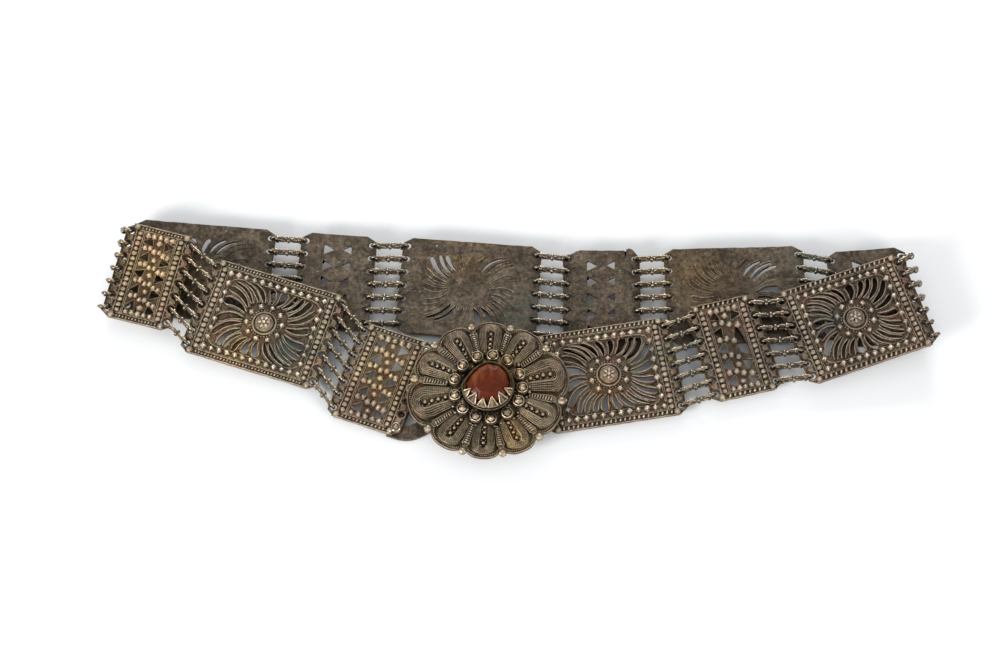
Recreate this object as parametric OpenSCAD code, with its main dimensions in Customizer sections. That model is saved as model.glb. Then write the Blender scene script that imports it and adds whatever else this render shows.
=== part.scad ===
/* [Panels] */
// Height of every panel, across the belt
panel_h = 54; // [52:0.5:56]
// Thickness of the cast plates
plate_t = 1.2; // [1:0.1:1.4]
// Size of the chamfer at a panel's corners
corner_cut = 3; // [1:0.5:4]

/* [Links] */
// Links in each joint
link_count = 7; // [5:1:7]
// Distance between neighbouring link holes
link_pitch = 7.4; // [7:0.1:7.8]
// Diameter of a link hole
hole_d = 4.2; // [4:0.1:4.3]
// Distance from a panel's side edge to the middle of its link holes
hole_inset = 3; // [2.8:0.1:3.2]
// Width of the flattened link wire, along the panel's edge
wire_w = 1.4; // [1.2:0.1:1.5]
// Thickness of the flattened link wire
wire_t = 1.3; // [1.1:0.1:1.4]
// Length of a link between the wires at its two ends
link_len = 18.4; // [18:0.1:18.8]
// Radius of the bend at the end of a link's loop, to the middle of the wire
loop_r = 1.8; // [1.7:0.1:2]
// Diameter of the granule in the middle of a link
granule_d = 2.9; // [2.4:0.1:3.2]

/* [Relief] */
// Diameter of the beads along a panel's sides
side_bead_d = 2.2; // [1.8:0.1:2.4]
// Number of beads in each side column
side_beads = 16; // [12:1:17]
// Distance from a panel's side edge to the middle of its bead column
side_bead_inset = 7.6; // [7:0.1:8.5]
// Width of the rope band along a panel's top and bottom
rope_w = 2.2; // [1.6:0.1:2.6]
// Diameter of the grains round the pierced field
grain_d = 2.4; // [2:0.1:2.8]

/* [Swirl panels] */
// Pierced slots round the boss
swirl_slots = 12; // [8:1:12]
// Angle that a slot turns between its inner and outer end
swirl_turn = 16; // [0:1:40]
// Radius of the boss ring
boss_ring_r = 5.8; // [5:0.1:7]
// Radius of the circle of grains round the boss
boss_grain_r = 9.2; // [8:0.1:10]
// Grains in that circle
boss_grains = 10; // [8:1:12]
// Height of the boss above the plate
boss_h = 3.4; // [2.5:0.1:4]

/* [Lattice panels] */
// Rows of triangular holes
lattice_rows = 5; // [3:1:5]
// Distance between those rows
lattice_pitch = 9.2; // [8.8:0.1:9.4]
// Side of a triangular hole
lattice_hole = 5.2; // [4:0.1:5.4]

/* [Buckle] */
// Radius to the tips of the petals
rosette_r = 40; // [38:0.1:41]
// Radius of the ring of drums round the stone
drum_ring_r = 17.2; // [16:0.1:18]
// Diameter of a drum
drum_d = 5.8; // [5:0.1:6.2]
// Diameter of the balls between the petals
ball_d = 4.6; // [4:0.1:5]
// Height of the stone's setting above the petals
setting_h = 8; // [6:0.1:9]
// Diameter of the rivets that hold the buckle plate
rivet_d = 3.2; // [3:0.1:3.4]

/* [Hidden] */
$fn = 48;
slack = 0.25;
// Puts the middle of the belt's outline over the origin and its lowest point on the floor
to_origin = [-8.9, 4.4, 0.3];
silver = [0.42, 0.37, 0.3];
bright = [0.62, 0.54, 0.42];
agate = [0.45, 0.2, 0.1];

// The layout is listed along the belt from the buckle's right side round to its left.
// Each row is a name, a kind, a width, the middle of the upper face, and tilt, roll and yaw.
// Front panels lie face up and back panels face down, so that their plain inner face shows.
NAME = 0;
KIND = 1;
WIDTH = 2;
AT = 3;
TURN = 4;
FACE = 5;
LAYOUT = [
    ["swirl_panel_1", "swirl", 71.6, [55.2, -24.6, 6.4], [4.6, -0.1, 9.7], "up"],
    ["lattice_panel_1", "lattice", 37, [119.4, -8.9, 6.2], [4.4, -0.4, 13.8], "up"],
    ["swirl_panel_2", "swirl", 69.2, [182, 5.6, 10.8], [2.8, -6.2, 18], "up"],
    ["lattice_panel_2", "lattice", 41.4, [192.1, 21, 5.9], [5.1, -1.1, 4.2], "down"],
    ["swirl_panel_3", "swirl", 73, [122.2, 22.8, 5], [4.9, 0, 1.7], "down"],
    ["lattice_panel_3", "lattice", 40.2, [52.6, 21, 5.1], [5, -0.1, -0.5], "down"],
    ["swirl_panel_4", "swirl", 72.8, [-16.1, 25.9, 5.3], [5, 0.9, -4.3], "down"],
    ["lattice_panel_4", "lattice", 40, [-85.8, 30.5, 5.2], [5, 0.4, -4.6], "down"],
    ["swirl_panel_5", "swirl", 74.6, [-156.2, 36.5, 5.4], [5.3, 0.7, -5], "down"],
    ["lattice_panel_5", "lattice", 36.8, [-181.1, 29.7, 12.1], [5.2, 6.6, -12.8], "up"],
    ["swirl_panel_6", "swirl", 73.4, [-120.8, 4, 8.3], [5.2, 3, -17.5], "up"],
    ["lattice_panel_6", "lattice", 39.2, [-60.7, -26.3, 5.5], [4.3, 0.8, -19.5], "up"]
];
panel_count = len(LAYOUT);

// Each joint hangs between two neighbours in that list, at the side that faces the other one.
SIDES = [[1, -1], [1, -1], [1, 1], [-1, 1], [-1, 1], [-1, 1], [-1, 1], [-1, 1], [-1, -1], [1, -1], [1, -1]];
joint_count = len(SIDES);
// A fold is a joint where the belt turns back under itself.
// Each row has the ways in which the first and the last link of that joint bulge, or nothing.
FOLDS = [for (j = [0:joint_count - 1])
    j == 2 ? [[0.88, 0.45, 0], [0.75, -0.4, -0.5]]
    : j == 8 ? [[-0.7, 0.29, -0.65], [-0.41, -0.1, -0.9]]
    : []];
// Distance from the middle of a folded link to the rims that it goes round
fold_reach = 6.8;
// Where a folded link crosses the rim, after or before the middle of its hole
slide_above = 0.2;
slide_below = -0.5;
// A slanting link crosses the rim this much before the middle of its hole, for a slope of one
lean_slide = 2;

// The rosette's back, at its middle, and the directions round it of the valleys between the petals,
// of the drums and of the claws
ROSETTE_AT = [-6, -35.2, 9.6];
VALLEYS = [37, 71, 104, 138, 171, 215, 249, 282, 315, 350];
DRUMS = [23, 56, 82, 108, 137, 166, 195, 223, 249, 275, 304, 333, 358];
CLAWS = [205, 232, 258, 286, 314, 342];
valley_r = 34.8;
ball_ring_r = 37.6;
// Distance from the stone's middle to its outline, every 30 degrees
STONE = [10.9, 11, 11.2, 11, 9.6, 9.4, 11, 10.9, 10.7, 10.8, 11, 10.9];
stone_depth = 3;
stone_rise = 3.8;
seat_gap = 0.2;
base_t = 1.6;
post_d = 5;
pin_d = 3;
plate_depth_below_rosette = 7.9;

function padded(n) = str(n < 10 ? "0" : "", n);
function joint_name(j) = str("link_row_", padded(j + 1));

// Turning points and directions
function spin_x(v, a) = [v[0], v[1] * cos(a) - v[2] * sin(a), v[1] * sin(a) + v[2] * cos(a)];
function spin_y(v, a) = [v[0] * cos(a) + v[2] * sin(a), v[1], v[2] * cos(a) - v[0] * sin(a)];
function spin_z(v, a) = [v[0] * cos(a) - v[1] * sin(a), v[0] * sin(a) + v[1] * cos(a), v[2]];
function turned(v, t) = spin_z(spin_x(spin_y(v, t[1]), t[0]), t[2]);
function unit(v) = v / norm(v);
function across(v, u) = unit(v - (v * u) * u);

// A point given on a panel as it lies, with z measured down from its upper face
function on_panel(p, x, y, depth) = p[AT] + turned([x, y, -depth], p[TURN]);
function hole_at(p, side, i) =
    on_panel(p, side * (p[WIDTH] / 2 - hole_inset), ((link_count - 1) / 2 - i) * link_pitch, plate_t / 2);

module laid(p) {
    translate(p[AT])
        rotate([0, 0, p[TURN][2]])
            rotate([p[TURN][0], 0, 0])
                rotate([0, p[TURN][1], 0])
                    if (p[FACE] == "up") {
                        translate([0, 0, -plate_t]) children();
                    } else {
                        rotate([0, 180, 0]) children();
                    }
}

// Panels
module plate_outline(w) {
    a = w / 2;
    b = panel_h / 2;
    c = corner_cut;
    polygon([[-a + c, -b], [a - c, -b], [a, -b + c], [a, b - c],
             [a - c, b], [-a + c, b], [-a, b - c], [-a, -b + c]]);
}

module link_holes(w) {
    for (side = [-1, 1])
        for (i = [0:link_count - 1])
            translate([side * (w / 2 - hole_inset), (i - (link_count - 1) / 2) * link_pitch])
                circle(d = hole_d);
}

module panel_border(w) {
    bead_end = 3.5;
    bead_pitch = (panel_h - 2 * bead_end) / side_beads;
    bead_lift = 0.1;
    ridge_w = 0.9;
    ridge_h = 0.8;
    ridge_gap = 2.2;
    ridge_end = 3.6;
    rope_h = 1;
    rope_end = 5;
    rope_y = panel_h / 2 - 1.8;
    for (side = [-1, 1]) {
        x = side * (w / 2 - side_bead_inset);
        for (i = [0:side_beads - 1])
            translate([x, (i - (side_beads - 1) / 2) * bead_pitch, plate_t + bead_lift])
                sphere(d = side_bead_d);
        translate([x - side * ridge_gap - ridge_w / 2, -panel_h / 2 + ridge_end, plate_t / 2])
            cube([ridge_w, panel_h - 2 * ridge_end, plate_t / 2 + ridge_h]);
        translate([-w / 2 + rope_end, side * rope_y - rope_w / 2, plate_t / 2])
            cube([w - 2 * rope_end, rope_w, plate_t / 2 + rope_h]);
    }
}

// Distance from the middle of a rectangle to its edge, in direction a
function to_edge(half_x, half_y, a) =
    min(half_x / max(abs(cos(a)), 0.001), half_y / max(abs(sin(a)), 0.001));

// One curved slot, narrow towards the boss and wide at the edge of the field
slot_start = 3.4;
slot_share = 0.52;
function slot_points(a, field_x, field_y) =
    let (r0 = boss_grain_r + slot_start,
         steps = 5,
         half = 180 / swirl_slots * slot_share,
         r1 = to_edge(field_x, field_y, a + swirl_turn),
         arm = [for (j = [0:steps]) [r0 + (r1 - r0) * j / steps, a + swirl_turn * j / steps]])
    concat([for (p = arm) p[0] * [cos(p[1] - half), sin(p[1] - half)]],
           [for (j = [steps:-1:0]) arm[j][0] * [cos(arm[j][1] + half), sin(arm[j][1] + half)]]);

module swirl_panel(w) {
    field_x = w / 2 - 13;
    field_y = panel_h / 2 - 8.4;
    grain_x = field_x + 1;
    grain_y = field_y + 2.8;
    row_grains = 9;
    side_grains = 4;
    linear_extrude(plate_t) difference() {
        plate_outline(w);
        link_holes(w);
        for (k = [0:swirl_slots - 1])
            polygon(slot_points(360 / swirl_slots * (k + 0.5), field_x, field_y));
    }
    panel_border(w);
    for (side = [-1, 1]) {
        for (i = [0:row_grains - 1])
            translate([(i / (row_grains - 1) - 0.5) * 2 * grain_x, side * grain_y, plate_t])
                sphere(d = grain_d);
        for (i = [1:side_grains])
            translate([side * grain_x, (i / (side_grains + 1) - 0.5) * 2 * grain_y, plate_t])
                sphere(d = grain_d);
    }
    for (i = [0:boss_grains - 1])
        rotate(360 / boss_grains * i)
            translate([boss_grain_r, 0, plate_t])
                sphere(d = grain_d);
    boss();
}

module boss() {
    ring_wire = 0.9;
    dome_r = boss_ring_r * 0.8;
    knob_r = 1.6;
    translate([0, 0, plate_t])
        rotate_extrude()
            translate([boss_ring_r, 0])
                circle(r = ring_wire);
    translate([0, 0, plate_t / 2])
        cylinder(h = plate_t / 2 + boss_h * 0.6, r1 = dome_r, r2 = dome_r * 0.55);
    translate([0, 0, plate_t + boss_h - knob_r])
        sphere(r = knob_r);
}

// The left column of holes points up and the right one down, a little lower
module lattice_panel(w) {
    column_x = w * 0.125;
    grain_pitch = w * 0.11;
    triangle_h = lattice_hole * 0.9;
    stagger = 1.2;
    linear_extrude(plate_t) difference() {
        plate_outline(w);
        link_holes(w);
        for (side = [-1, 1])
            for (i = [0:lattice_rows - 1])
                translate([side * column_x, (i - (lattice_rows - 1) / 2) * lattice_pitch - side * stagger])
                    rotate(side > 0 ? 180 : 0)
                        polygon([[-lattice_hole / 2, -triangle_h / 2], [lattice_hole / 2, -triangle_h / 2],
                                 [0, triangle_h / 2]]);
    }
    panel_border(w);
    for (i = [1:lattice_rows - 1])
        for (x = [-1.5:1:1.5])
            translate([x * grain_pitch, (i - lattice_rows / 2) * lattice_pitch, plate_t])
                sphere(d = grain_d);
}

module panel(p) {
    color(silver)
        translate(to_origin)
            laid(p)
                if (p[KIND] == "swirl") {
                    swirl_panel(p[WIDTH]);
                } else {
                    lattice_panel(p[WIDTH]);
                }
}

// Links
// The middle of the rim between a link hole and the panel's side edge.
// A slide moves the point along the edge.
function rim_at(p, side, i, slide) =
    on_panel(p, side * (p[WIDTH] / 2 - (hole_inset - hole_d / 2) / 2),
             ((link_count - 1) / 2 - i) * link_pitch + slide, plate_t / 2);

// The middle of a link, where its two halves meet. A straight link has it halfway.
// A folded one has it beside that point, in the direction that the fold bulges.
function knee(a, b, out, reach) =
    let (d = norm(b - a),
         h = sqrt(max(0, reach * reach - d * d / 4)))
    (a + b) / 2 + h * across(out, (b - a) / d);

// Outline of a loop, a long oval that is one radius round a line
module oval(from_x, to_x, r) {
    translate([from_x, -r]) square([to_x - from_x, 2 * r]);
    translate([from_x, 0]) circle(r = r);
    translate([to_x, 0]) circle(r = r);
}

// Half a link: an oval loop of strip from the granule, round the rim at the target and up in the hole
module half_link(from, target, edge) {
    u = unit(target - from);
    b = across(edge, u);
    n = cross(u, b);
    near_x = granule_d / 2 - 0.5 + loop_r;
    far_x = link_len / 2 - loop_r;
    multmatrix([[u[0], n[0], b[0], from[0]],
                [u[1], n[1], b[1], from[1]],
                [u[2], n[2], b[2], from[2]],
                [0, 0, 0, 1]])
        linear_extrude(wire_w, center = true) difference() {
            oval(near_x, far_x, loop_r + wire_t / 2);
            oval(near_x, far_x, loop_r - wire_t / 2);
        }
}

function fold_slide(p) = p[FACE] == "up" ? slide_above : slide_below;

module link_row(j) {
    first = LAYOUT[j];
    second = LAYOUT[j + 1];
    folded = len(FOLDS[j]) > 0;
    edge_a = turned([0, 1, 0], first[TURN]);
    edge_b = turned([0, 1, 0], second[TURN]);
    color(bright)
        translate(to_origin)
            for (i = [0:link_count - 1]) {
                way = unit(rim_at(second, SIDES[j][1], i, 0) - rim_at(first, SIDES[j][0], i, 0));
                slide_a = folded ? fold_slide(first) : way * edge_a * lean_slide;
                slide_b = folded ? fold_slide(second) : -way * edge_b * lean_slide;
                a = rim_at(first, SIDES[j][0], i, slide_a);
                b = rim_at(second, SIDES[j][1], i, slide_b);
                t = i / (link_count - 1);
                middle = folded
                    ? knee(a, b, FOLDS[j][0] * (1 - t) + FOLDS[j][1] * t, fold_reach)
                    : (a + b) / 2;
                union() {
                    translate(middle)
                        rotate([0, 0, atan2(way[1], way[0]) + 90])
                            sphere(d = granule_d);
                    half_link(middle, a, edge_a);
                    half_link(middle, b, edge_b);
                }
            }
}

// Buckle
// The buckle plate and the rosette lie parallel to the panel that the plate is riveted to.
module along_plate(at) {
    t = LAST[TURN];
    translate(to_origin + at)
        rotate([0, 0, t[2]])
            rotate([t[0], 0, 0])
                rotate([0, t[1], 0])
                    children();
}

// Back from a point in the model to the riveted panel's own flat coordinates
function flat_on_last(p) =
    let (v = spin_y(spin_x(spin_z(p - LAST[AT], -LAST[TURN][2]), -LAST[TURN][0]), -LAST[TURN][1]))
    [v[0], v[1]];

LAST = LAYOUT[panel_count - 1];
FIRST = LAYOUT[0];
pin_at = flat_on_last(hole_at(FIRST, -1, (link_count - 1) / 2));
post_at = flat_on_last(ROSETTE_AT);
RIVETED = [0, (link_count - 1) / 2, link_count - 1];

// A crescent under the panel's edge, with a window beside the panel, that reaches out to the clasp pin
module buckle_plate() {
    top = -plate_t - slack;
    side_x = LAST[WIDTH] / 2;
    lap = 6.4;
    pin_margin = 4.5;
    low = -panel_h / 2;
    lower_edge = [[-lap, low - 0.6], [1.4, low - 0.6], [6.5, low + 1.2], [10.6, low + 4.4],
                  [15, low + 9.8], [26, low + 15]];
    round_pin = [[-8, -12], [pin_margin, -4], [pin_margin, 4]];
    upper_edge = [[34, -low + 3], [14, -low], [0, -low], [-lap, -low]];
    window = [[0.4, -20.6], [7.6, -14], [9, -4], [0.4, -4]];
    color(silver)
        along_plate(LAST[AT])
            translate([0, 0, top - plate_t])
                linear_extrude(plate_t) difference() {
                    polygon(concat([for (v = lower_edge) v + [side_x, 0]],
                                   [for (v = round_pin) v + pin_at],
                                   [for (v = upper_edge) v + [side_x, 0]]));
                    polygon([for (v = window) v + [side_x, 0]]);
                    for (i = RIVETED)
                        translate(rivet_at(i)) circle(d = rivet_d + 2 * slack);
                    translate(pin_at) circle(d = pin_d + 2 * slack);
                    translate(post_at) circle(d = post_d + 2 * slack);
                }
}

function rivet_at(i) = [LAST[WIDTH] / 2 - hole_inset, ((link_count - 1) / 2 - i) * link_pitch];

module buckle_rivets() {
    head_d = 5;
    head_h = 0.8;
    low = -2 * plate_t - slack;
    color(silver)
        along_plate(LAST[AT])
            for (i = RIVETED)
                translate(rivet_at(i)) {
                    translate([0, 0, low - head_h])
                        cylinder(d = rivet_d, h = -low + 2 * head_h);
                    translate([0, 0, slack / 2])
                        cylinder(d1 = head_d, d2 = head_d * 0.6, h = head_h);
                    translate([0, 0, low - slack / 2 - head_h])
                        cylinder(d = head_d, h = head_h);
                }
}

module clasp_pin() {
    head_d = 5.4;
    head_h = 0.8;
    low = -2 * plate_t - slack;
    high = 2.1;
    color(silver)
        along_plate(LAST[AT])
            translate(pin_at) {
                translate([0, 0, low - slack - head_h])
                    cylinder(d = pin_d, h = high - low + slack + head_h);
                translate([0, 0, high])
                    cylinder(d = head_d, h = head_h);
                translate([0, 0, low - slack - head_h])
                    cylinder(d = head_d, h = head_h);
            }
}

// The rosette is built on its own back, with its middle at the origin
module on_rosette() {
    t = LAST[TURN];
    along_plate(ROSETTE_AT)
        rotate([0, 0, -t[2]])
            children();
}

// A petal runs from one valley to the next one round
function valley(k) = VALLEYS[k % len(VALLEYS)] + (k >= len(VALLEYS) ? 360 : 0);
function petal_edge(k, s, inset) =
    let (a0 = valley(k),
         a1 = valley(k + 1),
         wide = (a1 - a0) > 40 ? 1.5 : 0,
         round_off = pow(1 - pow(abs(s), 2.6), 0.5),
         mid = (a0 + a1) / 2,
         half = (a1 - a0) / 2)
    [valley_r - inset + (rosette_r + wide - valley_r) * round_off, mid + s * half];

module petal_shape() {
    steps = 8;
    polygon([for (k = [0:len(VALLEYS) - 1]) for (j = [0:steps - 1])
        let (e = petal_edge(k, -1 + 2 * j / steps, 0)) e[0] * [cos(e[1]), sin(e[1])]]);
}

module raised_petal(k) {
    steps = 8;
    narrow = 0.74;
    inner_r = 19;
    mid = (valley(k) + valley(k + 1)) / 2;
    half = (valley(k + 1) - valley(k)) / 2 * narrow;
    polygon(concat([for (j = [0:steps])
        let (e = petal_edge(k, (-1 + 2 * j / steps) * narrow, 2.2)) e[0] * [cos(e[1]), sin(e[1])]],
        [inner_r * [cos(mid + half * 0.8), sin(mid + half * 0.8)],
         inner_r * [cos(mid - half * 0.8), sin(mid - half * 0.8)]]));
}

// Outline of the stone, rounder below and flatter at its upper left
function stone_outline(grow) =
    [for (k = [0:len(STONE) - 1])
        let (a = 360 / len(STONE) * k)
        (STONE[k] + grow) * [cos(a), sin(a)]];

module rosette() {
    petal_t = 0.9;
    sunk = 0.2;
    cone_h = 2.4;
    cone_r = [21.5, 19.5];
    drum_h = 2.6;
    cap_h = 1.1;
    wall = 1.5;
    foot_h = 0.8;
    girdle = base_t + setting_h;
    post_low = plate_depth_below_rosette;
    color(silver)
        on_rosette() {
            linear_extrude(base_t) petal_shape();
            for (k = [0:len(VALLEYS) - 1]) {
                translate([0, 0, base_t - sunk])
                    linear_extrude(petal_t + sunk) raised_petal(k);
                rotate(VALLEYS[k])
                    translate([ball_ring_r, 0, base_t])
                        sphere(d = ball_d);
            }
            translate([0, 0, base_t - sunk])
                cylinder(h = cone_h, r1 = cone_r[0], r2 = cone_r[1]);
            for (k = [0:len(DRUMS) - 1])
                rotate(DRUMS[k])
                    translate([drum_ring_r, 0, base_t]) {
                        cylinder(d = drum_d, h = cone_h + drum_h);
                        translate([0, 0, cone_h + drum_h - 0.1])
                            cylinder(d1 = drum_d * 0.86, d2 = drum_d * 0.4, h = cap_h + 0.1);
                    }
            difference() {
                translate([0, 0, base_t])
                    linear_extrude(setting_h + 0.6)
                        polygon(stone_outline(wall + seat_gap));
                translate([0, 0, girdle - stone_depth - seat_gap])
                    linear_extrude(stone_depth + 1)
                        polygon(stone_outline(seat_gap));
            }
            for (a = CLAWS)
                rotate(a) claw(girdle);
            translate([0, 0, -post_low])
                cylinder(d = post_d, h = post_low + sunk);
            translate([0, 0, -post_low])
                cylinder(d = post_d + 2, h = foot_h);
        }
}

// A claw's profile, from the setting's wall over the edge of the stone
module claw(girdle) {
    w = 2.2;
    translate([0, w / 2, 0])
        rotate([90, 0, 0])
            linear_extrude(w)
                polygon([[11.6, girdle - 2], [12.5, girdle - 2], [12.5, girdle + 1.2],
                         [9.6, girdle + 3.2], [9.2, girdle + 2.5], [11.5, girdle + 0.7]]);
}

// The stone has a flat table, slanting crown facets, a thin girdle and a tapering back
module agate_stone() {
    girdle = base_t + setting_h;
    girdle_t = 0.8;
    n = len(STONE);
    crown_h = 2.2;
    rings = [[0.6, girdle - stone_depth], [1, girdle - girdle_t], [1, girdle], [0.84, girdle + crown_h],
             [0.6, girdle + stone_rise]];
    points = [for (r = rings) for (p = stone_outline(0)) [p[0] * r[0], p[1] * r[0], r[1]]];
    last = len(rings) - 1;
    color(agate)
        on_rosette()
            polyhedron(points,
                concat([[for (k = [0:n - 1]) k]],
                       [for (r = [0:last - 1]) for (k = [0:n - 1])
                           [r * n + k, (r + 1) * n + k, (r + 1) * n + (k + 1) % n, r * n + (k + 1) % n]],
                       [[for (k = [n - 1:-1:0]) last * n + k]]));
}

for (p = LAYOUT)
    panel(p);
for (j = [0:joint_count - 1])
    link_row(j);
buckle_plate();
buckle_rivets();
clasp_pin();
rosette();
agate_stone();
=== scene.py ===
import math

import bpy
import numpy as np
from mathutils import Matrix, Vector


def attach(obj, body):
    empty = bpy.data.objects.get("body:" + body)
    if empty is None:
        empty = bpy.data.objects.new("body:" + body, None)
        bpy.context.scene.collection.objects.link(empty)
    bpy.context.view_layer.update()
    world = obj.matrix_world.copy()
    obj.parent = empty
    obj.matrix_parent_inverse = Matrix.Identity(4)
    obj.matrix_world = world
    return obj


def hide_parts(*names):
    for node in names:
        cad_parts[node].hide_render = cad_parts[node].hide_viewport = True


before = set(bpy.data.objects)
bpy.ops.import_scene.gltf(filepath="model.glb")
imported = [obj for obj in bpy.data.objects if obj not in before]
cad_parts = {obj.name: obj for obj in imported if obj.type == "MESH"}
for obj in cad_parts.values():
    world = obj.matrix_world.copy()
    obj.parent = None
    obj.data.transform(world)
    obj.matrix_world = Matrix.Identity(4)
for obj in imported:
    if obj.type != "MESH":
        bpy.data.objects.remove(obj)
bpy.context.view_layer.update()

# Every piece is modelled over its own solid, and takes its place.
# Lengths are in millimetres until a mesh is made. The layout is the part's own.
PANEL_H = 54.0
PLATE_T = 1.2
LINKS = 7
PITCH = 7.4
HOLE_R = 2.1
HOLE_IN = 3.0
LINK_LEN = 18.4
LOOP_R = 1.8
GRANULE_D = 2.9
TO_ORIGIN = np.array([-8.9, 4.4, 0.3])
# A panel's name, kind and width, the middle of its upper side, its turns about X, Y and Z, and its face
LAYOUT = [
    ("swirl_panel_1", "swirl", 71.6, (55.2, -24.6, 6.4), (4.6, -0.1, 9.7), "up"),
    ("lattice_panel_1", "lattice", 37.0, (119.4, -8.9, 6.2), (4.4, -0.4, 13.8), "up"),
    ("swirl_panel_2", "swirl", 69.2, (182, 5.6, 10.8), (2.8, -6.2, 18), "up"),
    ("lattice_panel_2", "lattice", 41.4, (192.1, 21, 5.9), (5.1, -1.1, 4.2), "down"),
    ("swirl_panel_3", "swirl", 73.0, (122.2, 22.8, 5), (4.9, 0, 1.7), "down"),
    ("lattice_panel_3", "lattice", 40.2, (52.6, 21, 5.1), (5, -0.1, -0.5), "down"),
    ("swirl_panel_4", "swirl", 72.8, (-16.1, 25.9, 5.3), (5, 0.9, -4.3), "down"),
    ("lattice_panel_4", "lattice", 40.0, (-85.8, 30.5, 5.2), (5, 0.4, -4.6), "down"),
    ("swirl_panel_5", "swirl", 74.6, (-156.2, 36.5, 5.4), (5.3, 0.7, -5), "down"),
    ("lattice_panel_5", "lattice", 36.8, (-181.1, 29.7, 12.1), (5.2, 6.6, -12.8), "up"),
    ("swirl_panel_6", "swirl", 73.4, (-120.8, 4, 8.3), (5.2, 3, -17.5), "up"),
    ("lattice_panel_6", "lattice", 39.2, (-60.7, -26.3, 5.5), (4.3, 0.8, -19.5), "up"),
]
# The ends of each panel and of the next one that the links between them join
SIDES = [(1, -1), (1, -1), (1, 1), (-1, 1), (-1, 1), (-1, 1), (-1, 1), (-1, 1), (-1, -1), (1, -1), (1, -1)]
# At a fold, the directions in which the first and the last link stand out
FOLDS = {2: ((0.88, 0.45, 0), (0.75, -0.4, -0.5)), 8: ((-0.7, 0.29, -0.65), (-0.41, -0.1, -0.9))}
# From a fold's granules to the panels' rims, and how far loops slide along a rim in their holes
FOLD_REACH = 6.8
SLIDE_UP, SLIDE_DOWN, LEAN_SLIDE = 0.2, -0.5, 2.0
ROSETTE_AT = np.array([-6, -35.2, 9.6])
# Directions, in degrees, of the notches between the petals and of the drums round the stone
VALLEYS = [37, 71, 104, 138, 171, 215, 249, 282, 315, 350]
DRUMS = [23, 56, 82, 108, 137, 166, 195, 223, 249, 275, 304, 333, 358]
# A claw's direction, half its width and how far in its tip reaches
TEETH = [(206, 1.9, 9.4), (229, 2.6, 8.2), (256, 2.3, 9.2), (282, 2.6, 8.4), (310, 2.4, 7.8), (338, 1.9, 9.2)]
VALLEY_R, ROSETTE_R, BALL_RING_R, BALL_D = 32.4, 40.0, 37.6, 4.6
# The stone's radius, every 30 degrees
STONE = [10.9, 11, 11.2, 11, 9.6, 9.4, 11, 10.9, 10.7, 10.8, 11, 10.9]
BASE_T, SETTING_H = 1.6, 8.0
GIRDLE = BASE_T + SETTING_H
CONE_R, DRUM_RING_R, DRUM_R = 17.6, 17.2, 2.8

# Relief on a panel: beads and ridges in from its ends, ropes and ridges in from its long edges.
# A ridge's values are its distance in, its radius, and for the long ones its height and lift.
BEAD_IN, BEAD_PITCH, BEADS = 7.6, 2.94, 16
END_RIDGES = [(5.6, 0.4), (9.5, 0.36), (10.3, 0.3)]
LONG_RIDGES = [(3.2, 0.36, 0.15, 0.45), (3.9, 0.28, 0.1, 0.35)]
ROPE_IN, ROPE_PITCH, ROPE_LEAN = 1.85, 1.7, 68
# The swirl field: its distance from the ends, half its height, its slots and the plain field in its middle
FIELD_IN, FIELD_HALF_H, SLOTS = 12.8, 18.9, 24
MIDDLE_X, MIDDLE_Y = 10.8, 10.3
GRAIN_PITCH, GRAIN_ROW_Y, GRAIN_COLUMN_Y = 4.4, 21.1, 20.6
ROW_PITCH, NUGGET_ROW_Y = 9.2, 21.9
SHOWN_HOLE_R, SHOWN_HOLE_OUT = 1.7, 0.3
rng = np.random.default_rng(11)


# Turning
def cos_sin(a):
    return math.cos(math.radians(a)), math.sin(math.radians(a))


def turn_x(a):
    c, s = cos_sin(a)
    return np.array([[1, 0, 0], [0, c, -s], [0, s, c]])


def turn_y(a):
    c, s = cos_sin(a)
    return np.array([[c, 0, s], [0, 1, 0], [-s, 0, c]])


def turn_z(a):
    c, s = cos_sin(a)
    return np.array([[c, -s, 0], [s, c, 0], [0, 0, 1]])


def lie(turn):
    return turn_z(turn[2]) @ turn_x(turn[0]) @ turn_y(turn[1])


def unit(v):
    return v / np.linalg.norm(v)


def round_about(r, a):
    return r * np.array(cos_sin(a))


# Shapes are (points, quads, triangles, lift, smooth). Lift runs from -1 in a dark hollow through 0 to 1 and
# more on a worn tip. In the material a low lift paints shade, and a high lift paints a highlight as well as
# wear.
def form(points, quads, tris, lift, smooth):
    """A shape from lists, in which one lift may stand for every point."""
    return (np.array(points, float), np.array(quads, int).reshape(-1, 4), np.array(tris, int).reshape(-1, 3),
            np.broadcast_to(lift, (len(points),)), smooth)


def lathe(profile, seg, lift=None, smooth=True):
    pts, lifts, rings = [], [], []
    for (r, z), k in zip(profile, lift or [0.5] * len(profile)):
        n = seg if r else 1
        rings.append((len(pts), n))
        pts += [(r * math.cos(a), r * math.sin(a), z) for a in (2 * math.pi * j / seg for j in range(n))]
        lifts += [k] * n
    quads, tris = [], []
    for (p, m), (q, n) in zip(rings, rings[1:]):
        for j in range(seg):
            k = (j + 1) % seg
            if m > 1 and n > 1:
                quads.append((p + j, p + k, q + k, q + j))
            elif m > 1:
                tris.append((p + j, p + k, q))
            elif n > 1:
                tris.append((p, q + k, q + j))
    return form(pts, quads, tris, lifts, smooth)


def squeezed(shape, size, basis=np.eye(3)):
    """A shape stretched along its axes, and then turned into a basis."""
    v, q, t, k, smooth = shape
    return (v * size) @ basis.T, q, t, k, smooth


def dome(r, h, seg, rings, low, high):
    profile, lift = [(r, -0.3)], [low]
    for i in range(rings + 1):
        a = math.pi / 2 * i / rings
        profile.append((r * math.cos(a) if i < rings else 0, h * math.sin(a)))
        # More lift towards the top: a painted highlight there and painted shade at the foot, with the wear on
        # the top
        lift.append(low + (high - low) * math.sin(a) ** 1.5)
    return lathe(profile, seg, lift)


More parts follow.
